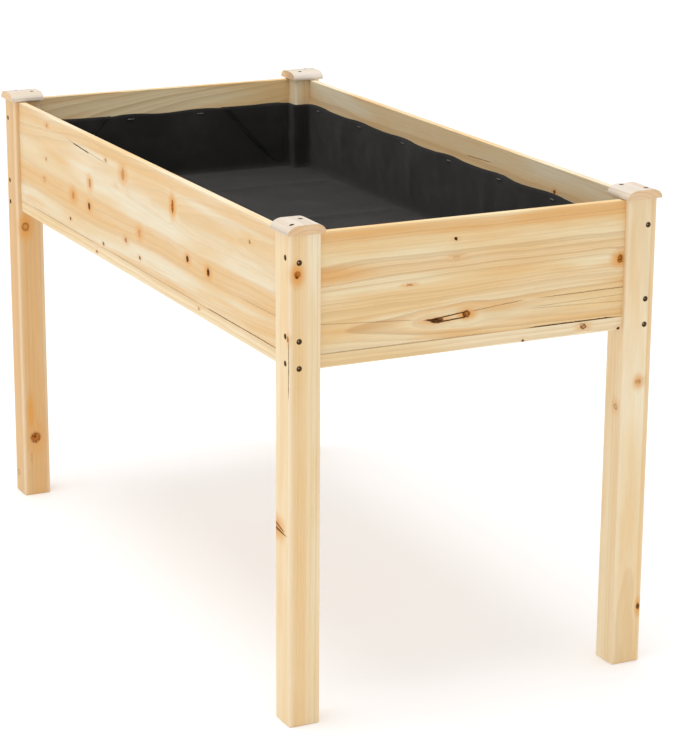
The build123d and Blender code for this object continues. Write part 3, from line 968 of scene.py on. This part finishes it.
def head_places(name, axis, post):
    """The screw heads on a post's outer face across an axis: points near that face, grouped by height."""
    low, high = (np.array(corner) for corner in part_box(post))
    outward = 1 if low[axis] + high[axis] > 0 else -1
    face = high[axis] if outward > 0 else low[axis]
    points = mesh_points(name)
    near = np.abs(points[:, axis] - face) < HEAD_DEPTH
    inside = np.all((points > low - BOX_SLACK) & (points < high + BOX_SLACK), axis=1)
    heads = points[near & inside]
    heads = heads[np.argsort(heads[:, 2])]
    breaks = np.flatnonzero(np.diff(heads[:, 2]) > HEAD_PITCH) + 1
    return [(axis, middle_of(group), SCREW_BORE) for group in np.split(heads, breaks)]


def bore_shade(recipe, bore):
    """Painted shade over a little bruised wood: dark within the bore's radius of the screw's axis, fading out
    over the rim.
    """
    axis, middle, radius = bore
    across_axis = tuple(0.0 if index == axis else 1.0 for index in range(3))
    away = recipe.vector("MULTIPLY", recipe.vector("SUBTRACT", recipe.place(), tuple(middle)), across_axis)
    return recipe.fade(recipe.vector("LENGTH", away), radius + BRUISE_AND_SHADE_REACH, radius - BORE_EDGE, 0, BORE_SHADE_STRENGTH)


# %% Posts
def on_face(face, height, across, half_sizes, **rest):
    """A knot on a post's face: its height, its place across, and its half height, width and depth."""
    tall, wide, deep = half_sizes
    spots = {
        "right": ((height, POST_SIDE, across), (tall, deep, wide)),
        "left": ((height, 0, across), (tall, deep, wide)),
        "front": ((height, across, 0), (tall, wide, deep)),
        "rear": ((height, across, POST_SIDE), (tall, wide, deep)),
    }
    middle, sizes = spots[face]
    return Knot(middle, sizes, **rest)


posts = {
    "front_right_post": dict(
        seed=10.7,
        pith=Pith(24, -34, lean_across=0.012, ring=5.5, wander=5),
        bands=(Band(3, 27, 0.8, "deep", soft=0.5),),
        knots=(
            on_face("right", 690, 12, (6, 6, 9), swell=3, core=1.0, rim=0.1, halo=1.0),
            on_face("front", 303, 8, (6, 14, 8), swell=5, core=0.3, rim=0.1, halo=0.9),
            on_face("front", 596, 44, (4, 3, 4), swell=0, core=0.7, rim=0.6, halo=0.6),
            on_face("left", 402, 24, (7, 6, 12), core=0.7, rim=0.5, halo=0.8),
        ),
        cracks=(
            Crack((500, 46.0), (602, 46.5), half_width=0.7, dark=0.85, depths=(-1, 3)),
            Crack((312, -4.0), (301, 32.0), half_width=4.0, dark=0.9, depths=(-1, 3), tips=0.3),
            Crack((303, -8.0), (297, 36.0), half_width=10.0, dark=1.0, depths=(-1, 3), tips=0.25),
        ),
    ),
    "rear_right_post": dict(
        seed=13.1,
        pith=Pith(-40, 20, lean_across=-0.01, ring=5.5, wander=5),
        bands=(Band(40, 54, 0.9, "deep", soft=0.25),),
        knots=(
            on_face("right", 462, 28, (4, 5.5, 9), swell=5, core=0.45, rim=0.15, halo=0.75),
            on_face("front", 421, 33, (4.5, 6, 8), core=0.35, rim=0.35, halo=0.4),
            on_face("right", 92, 44, (5, 3, 7), core=0.95, rim=0.9, halo=0.9, dead=True),
            on_face("rear", 560, 20, (7, 6, 12), core=0.7, rim=0.6, halo=0.8),
        ),
    ),
    "front_left_post": dict(
        seed=15.9,
        pith=Pith(70, 84, ring=5.0, wander=6),
        palette=AMBER_AND_SHADED_SPRUCE,
        # The second band is painted shade over the post's front face.
        bands=(Band(6, 40, 0.6, "deep", soft=0.5), Band(-8, 3, 0.4, "deep", soft=0.4)),
        knots=(
            on_face("right", 516, 15, (8, 7, 12), swell=6, core=0.35, rim=0.6, halo=1.0),
            on_face("right", 112, 23, (11, 10.5, 12), swell=6, core=1.0, rim=0.35, halo=0.5),
            on_face("right", 160, 15, (13, 4.5, 9), swell=2, core=0.0, rim=0.0, halo=0.9),
            on_face("right", 74, 14, (8, 1.5, 6), swell=1, core=0.0, rim=0.2, halo=0.4),
            on_face("front", 37, 15, (5, 6, 6), swell=2, core=0.0, rim=0.5, halo=0.1),
            on_face("left", 280, 30, (7, 6, 12), core=0.7, rim=0.5, halo=0.8),
        ),
    ),
    "rear_left_post": dict(
        seed=18.3,
        pith=Pith(90, -30, lean_across=0.02, ring=5.0, wander=6),
        knots=(
            on_face("left", 610, 22, (6, 6, 10), core=0.7, rim=0.6, halo=0.8),
            on_face("rear", 226, 31, (8, 6, 12), core=0.6, rim=0.5, halo=0.9),
        ),
    ),
}
for name, look in posts.items():
    bores = head_places("post_screws", 0, name) + head_places("post_screws", 1, name)
    look.setdefault("warmth", 0.6)
    look.setdefault("palette", POST_SPRUCE)
    look.setdefault("bands", (Band(10, 34, 0.6, "deep", soft=0.6),))
    # The 0.5 is the strength of the painted highlight along each post's corners.
    dress_board(name, ("z", "x", "y"), bores=bores, lines=0.3, pale_corners=0.5, **look)
    print(name, "has", len(bores), "screw bores")


# %% Caps
NAILS_IN_A_CAP = 2


def nail_seats(cap):
    """A cap's nails: the nails' points over the cap, split in two where the gap in x is widest."""
    low, high = (np.array(corner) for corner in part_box(cap))
    points = mesh_points("cap_nails")
    inside = points[np.all((points[:, :2] > low[:2]) & (points[:, :2] < high[:2]), axis=1)]
    inside = inside[np.argsort(inside[:, 0])]
    widest = np.sort(np.argsort(np.diff(inside[:, 0]))[1 - NAILS_IN_A_CAP:]) + 1
    return [(2, middle_of(group), NAIL_SEAT) for group in np.split(inside, widest)]


ALONG_BED = ("x", "y", "-z")
ACROSS_BED = ("y", "x", "-z")
caps = {
    "front_right_cap": (ALONG_BED, 30.7, Pith(34, 60, ring=3.6, wander=3)),
    "rear_right_cap": (ALONG_BED, 33.1, Pith(18, 52, ring=3.4, wander=3)),
    "front_left_cap": (ACROSS_BED, 35.9, Pith(40, 58, ring=3.6, wander=3)),
    "rear_left_cap": (ACROSS_BED, 38.3, Pith(25, 64, ring=3.4, wander=3)),
}
for name, (directions, seed, pith) in caps.items():
    # A ring of painted shade round each nail.
    seats = nail_seats(name)
    dress_board(name, directions, seed, pith, palette=CAP_WOOD_WITH_PAINTED_LIGHT, warmth=0.4, lines=0.5, bores=seats)
    print(name, "has", len(seats), "nails")


# %% [markdown]
# ## Metal
#
# The screws are zinc plated. Those in the posts have browned heads, darkened further as painted
# shade, and their cross recess is painted bright as a glint: it lies deeper than the head's
# face, so the depth below the post's face tells the two apart. The nails are wire with dark
# heads. The staples are thin galvanised wire. All are a metal with fine, uneven wear: noise
# moves the colour a little and the roughness a lot.

# %% Metal
WEAR = (700, 700, 700)  # grains in each metre
SCRATCHES = (300, 2500, 2500)
WEAR_RELIEF = 0.00005
RECESS_FADE = (0.0019, 0.0023)  # below the post's face, just under the screw head's own
# The head's browns, darkened as painted shade, and the bright colour painted in the cross recess as a glint.
BROWNED_AND_SHADED = ((0.090, 0.048, 0.022), (0.030, 0.015, 0.007))
PAINTED_RECESS_GLINT = (0.74, 0.62, 0.44)


def worn_metal(name, bright, dull, rough, relief=WEAR_RELIEF, shine=0.85):
    """A metal whose colour goes from bright to dull, and whose roughness follows, by fine noise."""
    recipe = Recipe(name)
    wear = recipe.noise(recipe.stretched(recipe.place(), WEAR), detail=4, roughness=0.65)
    scratches = recipe.noise(recipe.stretched(recipe.place(), SCRATCHES), detail=2)
    colour = recipe.blend(recipe.fade(wear, 0.35, 0.65), bright, dull)
    roughness = recipe.fade(wear, 0.3, 0.7, rough, rough + 0.25)
    return recipe.finish(colour, roughness, scratches, relief, Metallic=shine, Specular_IOR_Level=0.3 * shine)


def driven_screw():
    """A browned head, darkened as painted shade, with a painted glint in its recess, by the lesser depth
    below the posts' outer x and y faces.
    """
    recipe = Recipe("driven_screw")
    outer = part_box("rear_right_post")[1]
    x, y, _ = recipe.parts(recipe.place())
    below_x = recipe.math("SUBTRACT", outer.x, recipe.math("ABSOLUTE", x))
    below_y = recipe.math("SUBTRACT", outer.y, recipe.math("ABSOLUTE", y))
    recess = recipe.fade(recipe.math("MINIMUM", below_x, below_y), *RECESS_FADE)
    wear = recipe.noise(recipe.stretched(recipe.place(), WEAR), detail=4, roughness=0.65)
    brown = recipe.blend(recipe.fade(wear, 0.3, 0.7), *BROWNED_AND_SHADED)
    # The recess is painted bright, a painted glint, and made metallic.
    colour = recipe.blend(recess, brown, PAINTED_RECESS_GLINT)
    roughness = recipe.fade(wear, 0.3, 0.7, 0.4, 0.65)
    return recipe.finish(colour, roughness, wear, WEAR_RELIEF, Metallic=recess, Specular_IOR_Level=0.1)


zinc = worn_metal("zinc_plate", bright=(0.62, 0.55, 0.44), dull=(0.26, 0.21, 0.15), rough=0.30)
nail_wire = worn_metal(
    "nail_wire", bright=(0.026, 0.022, 0.019), dull=(0.010, 0.008, 0.007), rough=0.6, shine=0.05,
)
staple_wire = worn_metal(
    "staple_wire", bright=(0.58, 0.58, 0.57), dull=(0.40, 0.40, 0.39), rough=0.30, relief=0.00003,
)
metals = {
    "wall_screws": zinc,
    "slat_screws": zinc,
    "bearer_screws": zinc,
    "post_screws": driven_screw(),
    "cap_nails": nail_wire,
    "liner_staples": staple_wire,
}
for name, metal in metals.items():
    dress(pieces[name], metal)
    print(name, "in", metal.name)


# %% [markdown]
# ## The felt liner
#
# The liner keeps soil off the boards. It is one rectangle of black non-woven felt, pushed down
# into the trough and stapled near its edge. Cloth simulation could drop it in, but the shape
# is ruled by the box, and its folds are known: where a flat sheet turns up at a corner, twice
# the height is left over, and it is laid flat against the end wall as a three-cornered flap.
# So the sheet is worked out directly, as a function of two parameters. One runs round the
# trough, the other from the middle of the floor out to the walls and up to the rim.
#
# The outline comes first: straight runs joined by arcs, in and out round the posts.

# %% Outline of the trough
FELT = 0.0016
LINER_GAP = 0.0006  # to the wood
WALL_BEND = 0.011  # the felt's radius where a wall meets a post
POST_BEND = 0.0045  # its radius round a post's edge
OUTLINE_STEP = 0.008

liner_low, liner_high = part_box("liner")
post_low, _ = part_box("rear_right_post")
end_x = liner_high.x - FELT / 2
end_y = liner_high.y - FELT / 2
post_x = post_low.x - LINER_GAP - FELT / 2
post_y = post_low.y - LINER_GAP - FELT / 2
QUARTER = [(post_x, -end_y, WALL_BEND), (post_x, -post_y, POST_BEND), (end_x, -post_y, WALL_BEND)]


def outline_corners():
    """The twelve corners, anticlockwise from the front right, each (x, y, bend)."""
    right = QUARTER + [(x, -y, bend) for x, y, bend in reversed(QUARTER)]
    return right + [(-x, -y, bend) for x, y, bend in right]


def run(start, end, step):
    """Points from start towards end, evenly spaced, without the last."""
    count = max(1, int(round(np.hypot(*(end - start)) / step)))
    share = np.arange(count)[:, None] / count
    return start + share * (end - start)


def arc(before, corner, after, bend, count=6):
    """A corner's arc: centre + bend * (cos, sin), from where one side ends to where the next begins."""
    into = (corner - before) / np.hypot(*(corner - before))
    out = (after - corner) / np.hypot(*(after - corner))
    centre = corner + bend * (out - into)
    turn = np.linspace(0, np.pi / 2, count)[:, None]
    return centre + bend * (np.sin(turn) * into - np.cos(turn) * out)


def rounded_outline(corners, step):
    """Each corner's arc, then the straight run to where the next arc begins."""
    points = np.array([(x, y) for x, y, _ in corners])
    arcs = [
        arc(points[index - 1], points[index], points[(index + 1) % len(points)], corners[index][2])
        for index in range(len(points))
    ]
    parts = []
    for index, bent in enumerate(arcs):
        following = arcs[(index + 1) % len(arcs)]
        parts.append(bent[:-1])
        parts.append(run(bent[-1], following[0], step))
    return np.concatenate(parts)


outline = rounded_outline(outline_corners(), OUTLINE_STEP)
steps = np.roll(outline, -1, axis=0) - np.roll(outline, 1, axis=0)
tangents = steps / np.linalg.norm(steps, axis=1)[:, None]
inwards = np.column_stack([-tangents[:, 1], tangents[:, 0]])
outline_length = np.linalg.norm(np.diff(outline, axis=0), axis=1).sum()
print("outline:", len(outline), "points,", round(outline_length, 3), "m")


# %% [markdown]
# A flap is a fold like a letter Z, seen from above: the outline goes past the corner, turns
# back to it, and goes on along the wall. So a few extra points are put in at each corner,
# with a number from 0 to 2 that says how far round the Z they are. Their reach along the wall is
# the height times a triangle wave of that number, so the flap has no width at the floor and
# its full width at the rim. Each layer lies a little more than one felt's thickness further in.

# %% Corner flaps
FLAP_POINTS = 17
FLAP_FROM_POST = 0.016
LAYER = FELT * 1.25


def flap_starts():
    """Indices of the outline where a flap begins, and which way along the outline it is laid."""
    found = []
    for side_x, side_y in ((1, -1), (1, 1), (-1, 1), (-1, -1)):
        spot = np.array([side_x * end_x, side_y * (post_y - FLAP_FROM_POST)])
        index = int(np.argmin(np.linalg.norm(outline - spot, axis=1)))
        found.append((index, 1 if side_x * side_y < 0 else -1))
    return found


def with_flaps(outline, inwards, tangents):
    """The outline with each flap's extra points, their turn (0 to 2) and way, and everyone's layers."""
    turn = np.zeros(len(outline))
    way = np.zeros(len(outline))
    layers = np.zeros(len(outline))
    for index, direction in flap_starts():
        before = np.arange(1, 4)
        layers[(index - direction * before) % len(outline)] = 2 - before / 2
    plain = (outline, turn, way, layers, inwards, tangents)
    stretches = []
    last = 0
    for index, direction in sorted(flap_starts()):
        z_turn = np.linspace(0, 2, FLAP_POINTS)
        z_layers = 2 - np.clip((z_turn - 0.9) / 0.2, 0, 1) - np.clip((z_turn - 1.85) / 0.15, 0, 1)
        if direction < 0:
            z_layers = z_layers[::-1]
        spot, inward, tangent = (
            np.repeat(part[index:index + 1], FLAP_POINTS, axis=0) for part in (outline, inwards, tangents)
        )
        stretches.append([part[last:index] for part in plain])
        stretches.append([spot, z_turn, np.full(FLAP_POINTS, float(direction)), z_layers, inward, tangent])
        last = index + 1
    stretches.append([part[last:] for part in plain])
    return [np.concatenate(parts) for parts in zip(*stretches)]


around, z_turn, z_way, z_layer, inward, tangent = with_flaps(outline, inwards, tangents)
print("with flaps:", len(around), "points")


# %% [markdown]
# Up the walls the felt is not flat. Between two staples it hangs a little off the wood and its
# edge dips; near a staple it is held. It still shows the creases of the packet it came in.
# Smooth waves in many directions, added up, give the bulges. All of them push inwards or
# upwards only, because there is wood on the other side.

# %% Waves and creases
def soft_waves(points, longest, count, seed):
    """The mean of cos(k . point + phase) over waves in random directions, the long ones counting most."""
    dice = np.random.default_rng(seed)
    length = longest * dice.uniform(0.25, 1.0, count)
    direction = dice.normal(size=(count, 3))
    direction /= np.linalg.norm(direction, axis=1)[:, None]
    phase = dice.uniform(0, 2 * np.pi, count)
    waves = np.cos(points @ (direction * (2 * np.pi / length)[:, None]).T + phase)
    return waves @ length / length.sum()


CREASES_X = np.array([-0.41, -0.14, 0.13, 0.40])  # where the packet was folded across
CREASE_Y = 0.02  # and along
CREASE_HEIGHT = 0.0055


def packet_creases(points, sharp=0.018):
    """The tallest of exp(-distance to a fold / sharp) over the folds, each a straight ridge."""
    across = np.exp(-np.abs(points[..., 0:1] - CREASES_X) / sharp).max(axis=-1)
    along = np.exp(-np.abs(points[..., 1] - CREASE_Y) / sharp)
    return CREASE_HEIGHT * np.maximum(across, along)


print("the packet left", len(CREASES_X), "creases across and one along,", CREASE_HEIGHT, "m high")


# %% The sheet
FLOOR_ROWS = 40
BEND_ROWS = 6
WALL_ROWS = 20
FOOT_BEND = 0.010
RIM_BULGE = 0.0075
RIM_DIP = 0.0045
WALL_BULGE = 0.0030
WALL_CREASE = 0.6  # a crease's height up the wall, as a share of its height on the floor
FLOOR_WAVE = 0.0085
HELD_NEAR_STAPLE = 0.035
STAPLE_SAMPLE = 7  # every seventh point of the staples is enough to find the nearest
MIDDLE_REACH = 0.60  # half the length of the middle line, as a share of the half bed
WAVES = 24  # in each sum
LONGEST_BULGE = 0.22
LONGEST_RIPPLE = 0.10
LONGEST_WAVE = 0.35
LAYERS_BY = 0.25  # of the way up a wall, a flap's layers lie at their full distance
FLAT_EDGE = 12  # the floor's waves die out over the last twelfth of the way to the walls


def sheet_rows():
    """For each row from the middle to the rim: its share over the floor, its bend, its share up the wall."""
    floor_share = np.concatenate([np.linspace(0, 1, FLOOR_ROWS), np.ones(BEND_ROWS + WALL_ROWS)])
    bend = np.concatenate([np.zeros(FLOOR_ROWS), np.linspace(0, 1, BEND_ROWS + 1)[1:], np.ones(WALL_ROWS)])
    wall = np.concatenate([np.zeros(FLOOR_ROWS + BEND_ROWS), np.linspace(0, 1, WALL_ROWS + 1)[1:]])
    return floor_share[:, None], bend[:, None] * np.pi / 2, wall[:, None]


def liner_points():
    """The felt's middle surface: a grid of points, rows from the middle line out and up to the rim."""
    floor_share, bend, wall = sheet_rows()
    middle_x = np.clip(around[:, 0], -MIDDLE_REACH * end_x, MIDDLE_REACH * end_x)
    middle = np.column_stack([middle_x, 0 * middle_x])
    reach = np.linalg.norm(middle - around, axis=1)
    centreward = (middle - around) / reach[:, None]
    on_floor_inset = FOOT_BEND + (reach - FOOT_BEND) * (1 - floor_share)
    inset = np.where(floor_share < 1, on_floor_inset, FOOT_BEND * (1 - np.sin(bend)))

    staples = mesh_points("liner_staples")[::STAPLE_SAMPLE, :2]
    to_staple = np.linalg.norm(around[:, None, :] - staples[None], axis=2).min(axis=1)
    slack = 1 - np.exp(-(to_staple / HELD_NEAR_STAPLE) ** 2)
    full_height = liner_high.z - liner_low.z - FELT
    straight = full_height - FOOT_BEND
    height = FOOT_BEND * (1 - np.cos(bend)) + wall * straight
    flat = np.concatenate([
        around[None] + centreward[None] * inset[..., None],
        np.broadcast_to(height[..., None], inset.shape + (1,)),
    ], axis=2)

    bulge = soft_waves(flat, LONGEST_BULGE, WAVES, seed=5) + 0.5
    ripple = np.abs(soft_waves(flat, LONGEST_RIPPLE, WAVES, seed=8)) * 2
    mid_wall = np.sin(np.pi * wall)
    off_wall = slack * RIM_BULGE * np.clip(bulge, 0, 1) * wall**2.2
    off_wall = off_wall + WALL_BULGE * ripple * mid_wall + WALL_CREASE * packet_creases(flat) * mid_wall
    off_wall = off_wall + z_layer * LAYER * np.clip(wall / LAYERS_BY, 0, 1)
    dip = RIM_DIP * slack * np.clip(bulge, 0, 1) * wall**6

    flap = height * (1 - np.abs(z_turn - 1)) * (z_turn > 0) * z_way
    plan = flat[..., :2] + inward[None] * off_wall[..., None] + tangent[None] * flap[..., None]
    on_floor = np.sin(np.pi / 2 * np.clip((1 - floor_share) * FLAT_EDGE, 0, 1))
    wave = FLOOR_WAVE * np.clip(soft_waves(flat, LONGEST_WAVE, WAVES, seed=11) * 2, 0, 1)
    lift = on_floor * (wave + packet_creases(flat))
    level = liner_low.z + FELT / 2 + height + lift - dip
    points = np.concatenate([plan, level[..., None]], axis=2)
    laid_out = tangent[None] * (z_turn * height * z_way)[..., None]
    laid_flat = flat[..., :2] - inward[None] * height[..., None] + laid_out
    return points, laid_flat


SAME_POINT = 2e-5


def grid_mesh(name, points, flat):
    """A mesh from a grid that closes on itself sideways, with its flat pattern as a UV map."""
    rows, columns = points.shape[:2]
    here = np.arange(rows * columns).reshape(rows, columns)
    right = np.roll(here, -1, axis=1)
    quads = np.stack([here[:-1], right[:-1], right[1:], here[1:]], axis=-1).reshape(-1, 4)
    mesh = bpy.data.meshes.new(name)
    mesh.from_pydata(points.reshape(-1, 3).tolist(), [], quads.tolist())
    corners = np.empty(len(mesh.loops), np.int32)
    mesh.loops.foreach_get("vertex_index", corners)
    pattern = flat.reshape(-1, 2)[corners].astype(np.float32)
    mesh.uv_layers.new(name="flat").data.foreach_set("uv", pattern.ravel())
    edit = bmesh.new()
    edit.from_mesh(mesh)
    bmesh.ops.remove_doubles(edit, verts=edit.verts, dist=SAME_POINT)
    bmesh.ops.recalc_face_normals(edit, faces=edit.faces)
    edit.to_mesh(mesh)
    edit.free()
    mesh.polygons.foreach_set("use_smooth", np.ones(len(mesh.polygons), bool))
    return mesh


points, laid_flat = liner_points()
felt_liner = bpy.data.objects.new("felt_liner", grid_mesh("felt_liner", points, laid_flat))
bpy.context.scene.collection.objects.link(felt_liner)
thickness = felt_liner.modifiers.new("thickness", "SOLIDIFY")
thickness.thickness = FELT
thickness.offset = 0
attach(felt_liner, "root")
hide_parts("liner")
print("liner faces:", len(felt_liner.data.polygons))


# %% [markdown]
# Non-woven felt is a mat of fibres pressed together by a heated roller with a grid of points.
# Close up it has short, tangled hairs and rows of tiny dimples; from far off it is a dull
# near-black that lightens at a grazing angle, which is what sheen is for. The dimples follow
# the sheet's own flat pattern, so they turn with it up the walls.

# %% Felt
DIMPLES = 2 * np.pi * 420  # radians in a metre, for 420 waves
HAIRS = (2600, 2600, 2600)  # in each metre
DUST = (9, 9, 9)
FELT_DARK = (0.007, 0.0068, 0.0066)
FELT_LIGHT = (0.026, 0.025, 0.024)
FELT_DUSTY = (0.052, 0.046, 0.040)
FELT_RELIEF = 0.0004

felt = Recipe("black_felt")
pattern = felt.nodes.new("ShaderNodeUVMap")
pattern.uv_map = "flat"
along_felt, across_felt, _ = felt.parts(felt.stretched(pattern.outputs[0], (DIMPLES, DIMPLES, DIMPLES)))
dimple = felt.math("MULTIPLY", felt.math("SINE", along_felt), felt.math("SINE", across_felt))
hairs = felt.noise(felt.stretched(felt.place(), HAIRS), detail=3, roughness=0.7)
dust = felt.noise(felt.stretched(felt.place(), DUST), detail=5, roughness=0.6)
felt_colour = felt.blend(felt.fade(hairs, 0.35, 0.7), FELT_DARK, FELT_LIGHT)
felt_colour = felt.blend(felt.fade(dust, 0.45, 0.75, 0, 0.3), felt_colour, FELT_DUSTY)
felt_height = felt.math("MULTIPLY_ADD", dimple, 0.3, hairs)
felt_rough = felt.fade(dimple, -1, 1, 0.88, 0.98)
black_felt = felt.finish(
    felt_colour, felt_rough, felt_height, FELT_RELIEF,
    Sheen_Weight=0.10, Sheen_Roughness=0.5, Specular_IOR_Level=0.2,
)
dress(felt_liner, black_felt)
print("liner in", black_felt.name, "with", len(felt.nodes), "nodes")
